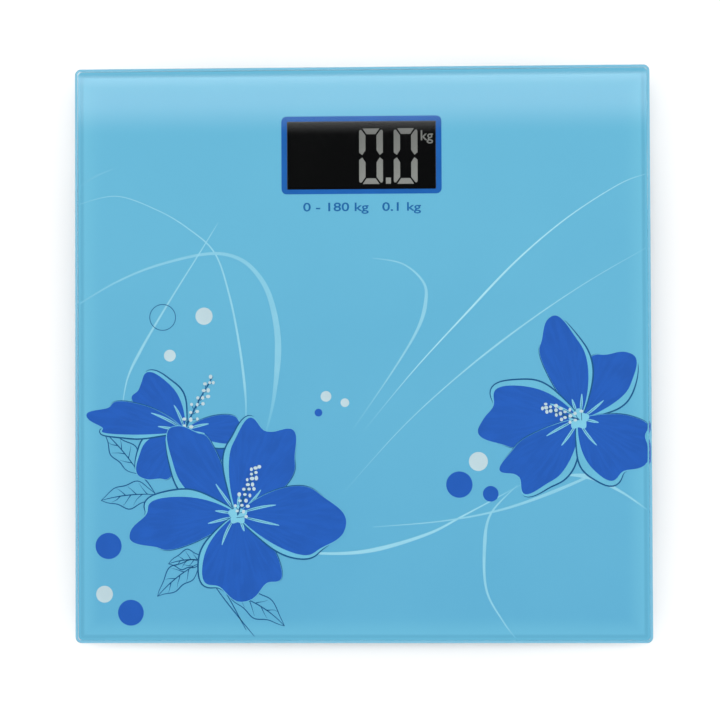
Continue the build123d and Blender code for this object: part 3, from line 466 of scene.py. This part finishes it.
WHITE_DOTS = (((-77.2, 19), 4.2), ((-94, -0.2), 2.9), ((-17.7, -20.4), 2.6), ((-8.5, -23.5), 2.1),
              ((56.3, -52.3), 4.6), ((-126.2, -116.5), 4.1))
BLUE_DOTS = (((-21.4, -28.3), 1.9), ((47, -63.5), 6.4), ((62.2, -68), 3.8), ((-124.2, -93), 6.4),
             ((-113.3, -125.5), 6.3))
RING_CENTRE = (-97.5, 18.5)
RING_RADIUS = 6.5
RING_LINE = 0.35


def add_dots(name, dots, material):
    bm = bmesh.new()
    for centre, radius in dots:
        slab(bm, circle(centre, radius), SHEET_TOP - INK_STEP, SHEET_TOP + 2 * INK_STEP)
    add_piece(name, bm, material, "print")


def add_ring():
    bm = bmesh.new()
    holed_slab(bm, circle(RING_CENTRE, RING_RADIUS), circle(RING_CENTRE, RING_RADIUS - RING_LINE),
               SHEET_TOP - INK_STEP, SHEET_TOP + 3 * INK_STEP)
    add_piece("print_ring", bm, ink_material("print_ring_line", LINE_BLUE), "print")


# ================= print: flowers and leaves =================
PETAL_POINTS = 96
PETAL_FULLNESS = 1.12
PETAL_NECK = 0.85
PETAL_TIP = 0.42
LOBE_DEPTH = 0.085
HALO = 0.3
FOLD_SIZES = (1.6, 3.6)
FOLD_WAVES = 34
FOLD_WAVE_DEPTH = 0.18
FOLD_END = 0.45
# shares of the way round a petal: its line along the fold, and the one along the other edge
FOLD_LINE = (0.04, 0.44)
FAR_LINE = (0.6, 0.9)
FOLD_LINE_MIRRORED = (0.56, 0.96)
FAR_LINE_MIRRORED = (0.1, 0.4)
LINE_WIDTH = 0.8
SLIVER_START = 0.07
SLIVER_WIDTH = 1.3
SLIVER_LINE_WIDTH = 0.34
PATCH_WAVES = 5
PATCH_WAVE_DEPTH = 0.16
COLUMN_BOW = 0.6
STALK_WIDTH = 0.3
STALK_RISE = 2.0
ANTHER_SPREAD = 4.2
GOLDEN = 0.618
SHEET_MARGIN = 0.6
STEPS_PER_PETAL = 4
# how many ink steps above the sheet the leaves and each flower start
LEAVES_STEP = 4
FLOWER_STEPS = {"right": 5, "upper": 5, "large": 30}

# each flower: throat, petals (direction, length, width, bend in degrees), its stamens
# (direction, length, number), and the radius of the pale patch in the throat
FLOWERS = {
    "right": ((105, -32), ((60, 38, 24, -6), (98, 48, 21, 8), (172, 46, 30, 8), (-130, 44, 25, -8),
                           (-40, 36, 33, 8)), (160, 19, 20), 4.6),
    "upper": ((-87, -37), ((-20, 27, 11, -6), (7, 31, 14, -8), (125, 33, 19, 8), (220, 29, 20, 10),
                           (160, 45, 16, 12)), (62, 30, 20), 2.2),
    "large": ((-61, -78), ((138, 50, 23, -14), (62, 47, 33, 6), (183, 50, 25, 6), (-90, 39, 38, 6),
                           (-1, 49, 33, -6)), (68, 26, 24), 4.2),
}


def petal_point(throat, petal, share, side):
    """A point of a petal: share runs from its throat to its tip, side from -1 to 1 across it."""
    direction, length, width, bend = petal
    lean = radians(direction + bend * share)
    ahead = Vector((cos(lean), sin(lean)))
    across = side * PETAL_FULLNESS * width * share ** PETAL_NECK * (1 - share) ** PETAL_TIP
    return Vector(throat) + ahead * length * share + Vector((-ahead.y, ahead.x)) * across


def petal_outline(throat, petal):
    """Out along one edge, round the tip and back, with lobes that are deepest at the tip."""
    phase, waves = rng.uniform(0, 2 * pi), rng.choice((4, 5, 6))
    outline = []
    for i in range(PETAL_POINTS):
        turn = 2 * pi * i / PETAL_POINTS
        share = min(1.0, (1 - cos(turn)) / 2)
        point = petal_point(throat, petal, share, 1 if i < PETAL_POINTS / 2 else -1)
        lobe = 1 + LOBE_DEPTH * share ** 3 * sin(waves * turn + phase)
        outline.append(Vector(throat) + (point - Vector(throat)) * lobe)
    return outline


def cut_to_sheet(outline):
    """The print stops at the rim of the sheet, so a petal that would pass it ends there."""
    limit = SHEET_HALF - SHEET_MARGIN
    return [Vector([max(-limit, min(limit, place)) for place in point]) for point in outline]


def grown(outline, gap):
    """The outline, pushed outwards by a gap that depends on the share of the way round it."""
    pushed = []
    for i, point in enumerate(outline):
        ahead = (outline[(i + 1) % len(outline)] - outline[i - 1]).normalized()
        pushed.append(point + Vector((-ahead.y, ahead.x)) * gap(i / len(outline)))
    return pushed


def new_fold():
    """The gap round a petal, wide along one edge that folds over, and whether it is the first."""
    first_edge, size = rng.random() < 0.5, rng.uniform(*FOLD_SIZES)

    def gap(way):
        near = way if first_edge else 1 - way
        wobble = 1 + FOLD_WAVE_DEPTH * sin(FOLD_WAVES * near)
        return HALO + size * wobble * sin(pi * min(near / FOLD_END, 1.0) ** 1.4) ** 1.3

    return gap, first_edge


def part_of(outline, start, end):
    return outline[round(start * len(outline)):round(end * len(outline))]


def add_slivers(slivers, lines, throat, petal, top):
    """Two pale slivers near the throat, each with a thin dark line along it."""
    def sliver_width(share):
        return SLIVER_WIDTH * sin(pi * (0.12 + 0.84 * share)) ** 0.7

    def line_width(share):
        return SLIVER_LINE_WIDTH * (1.1 - share)

    for index, side in enumerate((rng.uniform(-0.65, -0.25), rng.uniform(0.25, 0.65))):
        reach = rng.uniform(0.12, 0.36)
        curve = [petal_point(throat, petal, SLIVER_START + reach * i / 14, side) for i in range(15)]
        high = top + index * INK_STEP / 4
        ribbon(slivers, curve, sliver_width, top - INK_STEP, high)
        ribbon(lines, curve[1:-2], line_width, top - INK_STEP, high + INK_STEP / 2)


def add_flower(name, first_step):
    """Petals, one on top of the next, with pale folds, contour lines, slivers and stamens."""
    def fold_line_width(share):
        return LINE_WIDTH * sin(pi * share) ** 0.4

    def far_line_width(share):
        return 0.6 * LINE_WIDTH * sin(pi * share)

    throat, petals, stamens, patch = FLOWERS[name]
    fills, folds, lines, slivers = bmesh.new(), bmesh.new(), bmesh.new(), bmesh.new()
    bottom = SHEET_TOP - INK_STEP
    for index, petal in enumerate(petals):
        base = SHEET_TOP + (first_step + STEPS_PER_PETAL * index) * INK_STEP
        outline = petal_outline(throat, petal)
        gap, first_edge = new_fold()
        edge = grown(outline, gap)
        edge, outline = cut_to_sheet(edge), cut_to_sheet(outline)
        slab(folds, edge, bottom, base)
        slab(fills, outline, bottom, base + INK_STEP)
        wide = FOLD_LINE if first_edge else FOLD_LINE_MIRRORED
        narrow = FAR_LINE if first_edge else FAR_LINE_MIRRORED
        ribbon(lines, part_of(edge, *wide), fold_line_width, bottom, base + 1.5 * INK_STEP)
        ribbon(lines, part_of(edge, *narrow), far_line_width, bottom, base + 1.6 * INK_STEP)
        add_slivers(slivers, lines, throat, petal, base + 2 * INK_STEP)
    top = SHEET_TOP + (first_step + STEPS_PER_PETAL * len(petals)) * INK_STEP
    wavy = [Vector(throat) + Vector((cos(turn), sin(turn)))
            * patch * (1 + PATCH_WAVE_DEPTH * sin(PATCH_WAVES * turn))
            for turn in (2 * pi * i / 60 for i in range(60))]
    slab(slivers, wavy, bottom, top)
    for part, bm, material in (("halos", folds, ink_material(f"flower_{name}_halo_ink", FOLD_BLUE)),
                               ("petals", fills, petal_material(f"flower_{name}_petal_ink", throat)),
                               ("lines", lines, ink_material(f"flower_{name}_line_ink", LINE_BLUE)),
                               ("veins", slivers, ink_material(f"flower_{name}_vein_ink", PALE_BLUE))):
        add_piece(f"flower_{name}_{part}", bm, material, "print")
    add_stamens(name, throat, stamens, top + 2 * INK_STEP)


def add_stamens(name, throat, stamens, top):
    """A column that leans out of the throat, with small white anthers spread about it."""
    direction, length, number = stamens
    ahead = Vector((cos(radians(direction)), sin(radians(direction))))
    across = Vector((-ahead.y, ahead.x))
    column = bmesh.new()
    curve = [Vector(throat) + ahead * length * i / 12 + across * sin(pi * i / 12) * COLUMN_BOW
             for i in range(13)]
    ribbon(column, curve, lambda share: 0.9 - 0.5 * share, top - INK_STEP, top)
    bm = bmesh.new()
    for i in range(number):
        share = (i + 0.5) / number
        offset = (2 * (i * GOLDEN % 1) - 1) * ANTHER_SPREAD * (1 - 0.55 * share)
        centre = Vector(throat) + ahead * (length * share + rng.uniform(-0.4, 0.4)) + across * offset
        foot = Vector(throat) + ahead * (length * share - STALK_RISE)
        stalk = [foot.lerp(centre, k / 4) for k in range(5)]
        ribbon(column, stalk, lambda share: STALK_WIDTH, top - INK_STEP, top + INK_STEP / 4)
        radius, squeeze = rng.uniform(0.7, 1.0), rng.uniform(0.85, 1.2)
        outline = [(centre.x + radius * squeeze * cos(2 * pi * k / 14),
                    centre.y + radius / squeeze * sin(2 * pi * k / 14)) for k in range(14)]
        slab(bm, outline, top - INK_STEP, top + INK_STEP * (1 + share))
    column_ink = ink_material(f"flower_{name}_column_ink", LINE_BLUE)
    add_piece(f"flower_{name}_column", column, column_ink, "print")
    anther_ink = ink_material(f"flower_{name}_anther_ink", INK_WHITE)
    add_piece(f"flower_{name}_anthers", bm, anther_ink, "print")


# each leaf: foot of the leaf, direction, length, width and bend in degrees
LEAVES = (((-109, -58), 122, 27, 11, 8), ((-101, -68), 176, 27, 12, 10), ((-79, -101), 206, 27, 11, 12),
          ((-66, -116), -12, 32, 12, -18), ((-78, -100), 172, 17, 9, 14))
STEMS = (((-76, -107), (-69, -117), (-62, -126), (-53, -137)), ((-72, -107), (-65, -119), (-57, -134)),
         ((-101, -68), (-105, -62), (-109, -58)), ((-92, -78), (-97, -74), (-101, -68)))
LEAF_LINE = 0.55
RIB_LINE = 0.42
LEAF_WAVE_DEPTH = 0.16


def add_leaves(step):
    """Leaves drawn in line only: two edges, a midrib and side veins."""
    top = SHEET_TOP + step * INK_STEP
    low = SHEET_TOP - INK_STEP

    def taper(share):
        return LEAF_LINE * (0.5 + 0.5 * sin(pi * share))

    def leaf_point(foot, direction, length, width, bend, share, side):
        lean = radians(direction + bend * share)
        ahead = Vector((cos(lean), sin(lean)))
        wave = 1 + LEAF_WAVE_DEPTH * sin(13 * share + 2 * side + foot[0])
        across = side * width / 2 * sin(pi * share ** 0.85) * wave
        return Vector(foot) + ahead * length * share + Vector((-ahead.y, ahead.x)) * across

    bm = bmesh.new()
    for leaf in LEAVES:
        for side in (-1, 0, 1):
            ribbon(bm, [leaf_point(*leaf, i / 24, side) for i in range(25)], taper, low, top)
        for rib in range(1, 4):
            for side in (-1, 1):
                start = 0.2 * rib + 0.05 * side
                curve = [leaf_point(*leaf, start + 0.16 * i / 6, side * 0.85 * i / 6)
                         for i in range(7)]
                ribbon(bm, curve, lambda share: RIB_LINE * (1.2 - share), low, top)
    for stem in STEMS:
        ribbon(bm, smooth(stem), taper, low, top)
    add_piece("print_leaves", bm, ink_material("leaf_line_ink", LINE_BLUE), "print")


# ================= display: border, text and digits =================
BORDER_LOW = (-39.1, 78.3)
BORDER_HIGH = (39.1, 116.4)
BORDER_CORNER = 2.6
RATING_TEXT = "0 - 180 kg   0.1 kg"
RATING_WIDTH = 57.5
RATING_HEIGHT = 5.9
RATING_PLACE = (-28.5, 70.0)
RATING_WEIGHT = 0.08
DIGIT_INK = 0.02


def add_border():
    bm = bmesh.new()
    outer = rounded_box(BORDER_LOW, BORDER_HIGH, BORDER_CORNER)
    holed_slab(bm, outer, window_outline(), SHEET_TOP - INK_STEP, SHEET_TOP + 4 * INK_STEP)
    add_piece("display_border", bm, ink_material("border_ink", BORDER_BLUE, 0.06), "print")


def add_text(name, words, size, left, base, width, low, high, weight, material, slot):
    """Plain sans lettering as a thin solid, fitted to a width. Weight thickens its strokes."""
    curve = bpy.data.curves.new(name + "_curve", "FONT")
    curve.body = words
    curve.size = size
    curve.extrude = (high - low) / 2
    curve.offset = weight
    letters = bpy.data.objects.new(name + "_letters", curve)
    bpy.context.scene.collection.objects.link(letters)
    bpy.context.view_layer.update()
    bm = bmesh.new()
    bm.from_mesh(letters.evaluated_get(bpy.context.evaluated_depsgraph_get()).to_mesh())
    bpy.data.objects.remove(letters)
    bmesh.ops.remove_doubles(bm, verts=bm.verts, dist=0.0005)
    xs = [vert.co.x for vert in bm.verts]
    squeeze = width / (max(xs) - min(xs))
    bmesh.ops.transform(bm, verts=bm.verts, matrix=Matrix.Translation((left, base, (low + high) / 2))
                        @ Matrix.Diagonal((squeeze, 1, 1, 1)) @ Matrix.Translation((-min(xs), 0, 0)))
    return add_piece(name, bm, material, slot)


def add_rating():
    add_text("rating_text", RATING_TEXT, RATING_HEIGHT, *RATING_PLACE, RATING_WIDTH,
             SHEET_TOP - INK_STEP, SHEET_TOP + 4 * INK_STEP, RATING_WEIGHT,
             ink_material("text_ink", TEXT_BLUE), "print")


DIGIT_LEFTS = (-1.1, 15.8)
DIGIT_WIDTH = 11.6
DIGIT_LOW = 83.2
DIGIT_HIGH = 110.4
SEGMENT = 3.1
SEGMENT_GAP = 0.6
BAR_INSET = 1.7
BAR_SLANT = 0.5
BAR_DEPTH = 2.8
# an upright's points: how far in from the digit's side, and from its end or its middle
UPRIGHT_END = ((0.0, 1.4), (0.4, 0.7), (1.1, 0.7), (SEGMENT, 3.4))
UPRIGHT_TIP = ((SEGMENT, SEGMENT_GAP + 2.4), (1.5, SEGMENT_GAP), (0.0, SEGMENT_GAP + 1.2))
POINT_LOW = (11.9, 83.3)
POINT_HIGH = (14.4, 86.3)
UNIT_PLACE = (29.0, 104.5)
UNIT_SIZE = 7.0
UNIT_WIDTH = 6.0
UNIT_WEIGHT = 0.07


def add_zero(bm, left):
    """A seven-segment 0: two bars across and four uprights with pointed inner ends."""
    right = left + DIGIT_WIDTH
    middle = (DIGIT_LOW + DIGIT_HIGH) / 2
    low, high = DISPLAY_TOP, DISPLAY_TOP + DIGIT_INK
    for end, way in ((DIGIT_HIGH, -1), (DIGIT_LOW, 1)):
        slab(bm, [(left + BAR_INSET, end), (right - BAR_INSET, end),
                  (right - SEGMENT - BAR_SLANT, end + way * BAR_DEPTH),
                  (left + SEGMENT + BAR_SLANT, end + way * BAR_DEPTH)], low, high)
        for edge, turn in ((left, 1), (right, -1)):
            outer = [(edge + turn * x, end + way * y) for x, y in UPRIGHT_END]
            inner = [(edge + turn * x, middle - way * y) for x, y in UPRIGHT_TIP]
            slab(bm, outer + inner, low, high)


def digit_material():
    """Segments that let the grey reflector behind them show, with painted shade that makes them darker
    towards the far end of the window.
    """
    material, graph, shader = new_material("lcd_segment", Roughness=0.5, Specular_IOR_Level=INK_SHINE)
    place = graph.place()
    _, y, _ = graph.split(place)
    # painted shade: the segments are darker towards the far end of the window
    slope = graph.fit(y, DIGIT_LOW * MM, DIGIT_HIGH * MM)
    grey = graph.mix(slope, (0.262, 0.248, 0.236, 1.0), (0.180, 0.172, 0.165, 1.0))
    grain = graph.fit(graph.noise(place, 3000.0, 2.0), 0.3, 0.7)
    graph.put(graph.mix(graph.math("MULTIPLY", grain, 0.15), grey, (0.24, 0.24, 0.23, 1.0)),
              shader.inputs["Base Color"])
    return material


def add_digits():
    material = digit_material()
    bm = bmesh.new()
    for left in DIGIT_LEFTS:
        add_zero(bm, left)
    slab(bm, rounded_box(POINT_LOW, POINT_HIGH, 0.2), DISPLAY_TOP, DISPLAY_TOP + DIGIT_INK)
    add_piece("lcd_digits", bm, material, "lcd_glass")
    add_text("lcd_unit", "kg", UNIT_SIZE, *UNIT_PLACE, UNIT_WIDTH, DISPLAY_TOP,
             DISPLAY_TOP + DIGIT_INK, UNIT_WEIGHT, material, "lcd_glass")


# ================= materials of the CAD nodes =================
def glass_material():
    """Clear float glass with a faint green tint. It lets lamps reach the print under it."""
    material, graph, shader = new_material("tempered_glass", Base_Color=(0.965, 0.990, 0.985, 1.0), IOR=1.5,
                                           Transmission_Weight=1.0, Roughness=0.0)
    smears = graph.noise(graph.place(), 25.0, 3.0)
    graph.put(graph.fit(smears, 0.45, 0.75, 0.0, 0.003), shader.inputs["Roughness"])
    path = graph.add("ShaderNodeLightPath").outputs
    lamp = graph.math("MAXIMUM", path["Is Shadow Ray"], path["Is Diffuse Ray"])
    clear = graph.add("ShaderNodeBsdfTransparent", {"Color": (0.93, 0.96, 0.955, 1.0)}).outputs[0]
    both = graph.add("ShaderNodeMixShader", {0: lamp, 1: shader.outputs[0], 2: clear}).outputs[0]
    output = material.node_tree.nodes["Material Output"]
    graph.put(both, output.inputs["Surface"])
    return material


def textured(name, colour, spread=0.05, scale=80.0, rough=(0.45, 0.6), bump_scale=1800.0,
             depth=0.00002, stretch=None, **sockets):
    """A surface with slow tone changes, and fine relief that also varies its roughness.

    Spread is how far the tone strays from the colour, scale how many patches of tone there are
    to a metre, and bump_scale and depth (in metres) describe the relief.
    """
    material, graph, shader = new_material(name, **sockets)
    place = graph.place()
    tone = graph.fit(graph.noise(place, scale, 4.0), 0.3, 0.7)
    relief = graph.noise(place, bump_scale, 3.0, stretch)
    mottled = graph.mix(tone, shade(colour, 1 - spread), shade(colour, 1 + spread))
    graph.put(mottled, shader.inputs["Base Color"])
    graph.put(graph.fit(relief, 0.3, 0.7, *rough), shader.inputs["Roughness"])
    graph.put(graph.bump(relief, depth), shader.inputs["Normal"])
    return material


# lengths along a cell, in millimetres from its positive end
COPPER_LENGTH = (15.5, 15.0)
CRIMP_LENGTH = 1.6
CAN_LENGTH = 44.3


def battery_material():
    """Printed sleeve: a metal can end to end, dark over most of its length, copper at one end."""
    material, graph, shader = new_material("battery_sleeve", Coat_Weight=0.3)
    place = graph.place()
    x, y, _ = graph.split(place)
    _, high_1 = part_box("battery_1")
    low_2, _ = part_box("battery_2")
    # the first cell's positive end is at +X, and the second's at -X
    first = graph.math("LESS_THAN", y, (high_1.y + low_2.y) / 2)
    flipped = graph.math("MULTIPLY", x, graph.math("SUBTRACT", graph.math("MULTIPLY", first, 2.0), 1.0))
    copper = graph.fit(flipped, *(high_1.x - length * MM for length in COPPER_LENGTH))
    body = graph.mix(graph.noise(place, 60.0), (0.020, 0.085, 0.045, 1.0), (0.028, 0.105, 0.055, 1.0))
    sleeve = graph.mix(copper, body, (0.62, 0.30, 0.13, 1.0))
    crimp = graph.math("ADD", graph.math("GREATER_THAN", flipped, high_1.x - CRIMP_LENGTH * MM),
                       graph.math("LESS_THAN", flipped, high_1.x - CAN_LENGTH * MM))
    graph.put(graph.mix(crimp, sleeve, (0.72, 0.71, 0.69, 1.0)), shader.inputs["Base Color"])
    graph.put(graph.math("MAXIMUM", crimp, graph.math("MULTIPLY", copper, 0.8)), shader.inputs["Metallic"])
    graph.put(graph.fit(graph.noise(place, 900.0), 0.3, 0.7, 0.22, 0.34), shader.inputs["Roughness"])
    return material


def board_material():
    """Green solder mask over copper tracks that show through as lighter lines."""
    material, graph, shader = new_material("solder_mask", Coat_Weight=0.4)
    place = graph.place()
    grid = {"Vector": place, "Scale": 260.0, "Mortar Size": 0.06, "Mortar": (1.0, 1.0, 1.0, 1.0),
            "Color1": (0.0, 0.0, 0.0, 1.0), "Color2": (0.25, 0.25, 0.25, 1.0)}
    bricks = graph.add("ShaderNodeTexBrick", grid).outputs[0]
    fields = graph.math("GREATER_THAN", graph.noise(place, 55.0, 1.0), 0.47)
    tracks = graph.math("MULTIPLY", graph.add("ShaderNodeRGBToBW", {0: bricks}).outputs[0], fields)
    mask = graph.mix(tracks, (0.012, 0.115, 0.045, 1.0), (0.03, 0.22, 0.085, 1.0))
    graph.put(mask, shader.inputs["Base Color"])
    graph.put(graph.fit(graph.noise(place, 1200.0), 0.3, 0.7, 0.25, 0.38), shader.inputs["Roughness"])
    graph.put(graph.bump(tracks, 0.00003), shader.inputs["Normal"])
    return material


LAYERS_PER_METRE = 5000.0


def zebra_material():
    """Contact strip: carbon and plain silicone in fine layers along its length."""
    material, graph, shader = new_material("layered_silicone", Roughness=0.55)
    place = graph.place()
    x, _, _ = graph.split(place)
    count = graph.math("MULTIPLY", x, LAYERS_PER_METRE)
    layers = graph.math("GREATER_THAN", graph.math("FRACT", count), 0.5)
    striped = graph.mix(layers, (0.75, 0.45, 0.48, 1.0), (0.03, 0.03, 0.03, 1.0))
    graph.put(striped, shader.inputs["Base Color"])
    graph.put(graph.bump(graph.noise(place, 1500.0), 0.00002), shader.inputs["Normal"])
    return material


def dress_nodes():
    """Gives every CAD node that stays visible its material."""
    steel = {"Metallic": 1.0, "rough": (0.22, 0.42), "bump_scale": 900.0, "depth": 0.000006}
    foam = {"scale": 300.0, "bump_scale": 1400.0, "depth": 0.00008}
    wire = {"scale": 200.0, "rough": (0.28, 0.42), "bump_scale": 900.0}
    looks = {
        "glass": glass_material(),
        "white_plastic": textured("moulded_white", (0.80, 0.81, 0.81), spread=0.015, scale=40.0,
                                  rough=(0.42, 0.55)),
        "foot_plastic": textured("moulded_foot", (0.74, 0.75, 0.76), spread=0.02, scale=40.0,
                                 rough=(0.45, 0.58)),
        "foam": textured("foam_tape", (0.70, 0.69, 0.66), rough=(0.85, 0.95), **foam),
        "black_foam": textured("black_foam", (0.022, 0.022, 0.024), spread=0.2, rough=(0.8, 0.95), **foam),
        "foot_rubber": textured("foot_rubber", (0.22, 0.225, 0.23), spread=0.08, scale=60.0,
                                rough=(0.7, 0.85), bump_scale=1600.0, depth=0.00004),
        "cell_steel": textured("ground_steel", (0.56, 0.56, 0.55), scale=50.0,
                               stretch=(0.12, 3.0, 3.0), **steel),
        "silicone": textured("cured_silicone", (0.82, 0.82, 0.79), spread=0.03, scale=200.0,
                             rough=(0.3, 0.5), bump_scale=350.0, depth=0.0001,
                             Subsurface_Weight=0.2, Subsurface_Scale=0.001),
        "lcd_glass": textured("display_glass", (0.17, 0.18, 0.17), spread=0.04, scale=60.0,
                              rough=(0.03, 0.08), bump_scale=300.0, depth=0.000001),
        "polariser": textured("polariser", (0.0028, 0.0028, 0.0030), scale=60.0, rough=(0.03, 0.05),
                              bump_scale=500.0, depth=0.0000002, Specular_IOR_Level=0.1),
        "frame_plastic": textured("moulded_black", (0.022, 0.022, 0.024), spread=0.1, scale=60.0,
                                  rough=(0.4, 0.55)),
        "screw_steel": textured("nickel_screw", (0.66, 0.64, 0.60), scale=100.0, **steel),
        "zebra": zebra_material(),
        "board": board_material(),
        "epoxy": textured("black_epoxy", (0.012, 0.012, 0.012), spread=0.1, scale=200.0,
                          rough=(0.12, 0.3), bump_scale=250.0, depth=0.00008),
        "components": textured("component_body", (0.035, 0.035, 0.037), spread=0.15, scale=300.0,
                               rough=(0.4, 0.6)),
        "switch_plastic": textured("switch_black", (0.03, 0.03, 0.03), spread=0.1, scale=200.0,
                                   rough=(0.35, 0.5)),
        "button_plastic": textured("button_grey", (0.33, 0.35, 0.38), spread=0.04, scale=200.0,
                                   rough=(0.4, 0.52)),
        "battery": battery_material(),
        "contact_metal": textured("nickel_spring", (0.70, 0.69, 0.66), scale=150.0, **steel),
        "wire_red": textured("insulation_red", (0.50, 0.018, 0.018), spread=0.06, **wire),
        "wire_black": textured("insulation_black", (0.018, 0.018, 0.018), spread=0.1, **wire),
        "wire_white": textured("insulation_white", (0.78, 0.78, 0.76), spread=0.03, **wire),
    }
    slot_of = {entry["node"]: entry["material_slot"] for entry in frame["record"]["subparts"]}
    for name, node in frame["nodes"].items():
        if slot_of[name] not in looks:
            continue
        node.data.materials.clear()
        node.data.materials.append(looks[slot_of[name]])


# ================= everything =================
add_camera()
light_world()
add_floor()
add_sheet()
add_swirls()
add_dots("print_white_dots", WHITE_DOTS, ink_material("dot_white_ink", INK_WHITE))
add_dots("print_blue_dots", BLUE_DOTS, ink_material("dot_blue_ink", PETAL_BLUE))
add_ring()
add_leaves(LEAVES_STEP)
for flower, flower_step in FLOWER_STEPS.items():
    add_flower(flower, flower_step)
add_border()
add_rating()
add_digits()
dress_nodes()
bpy.context.scene.view_settings.view_transform = "Standard"
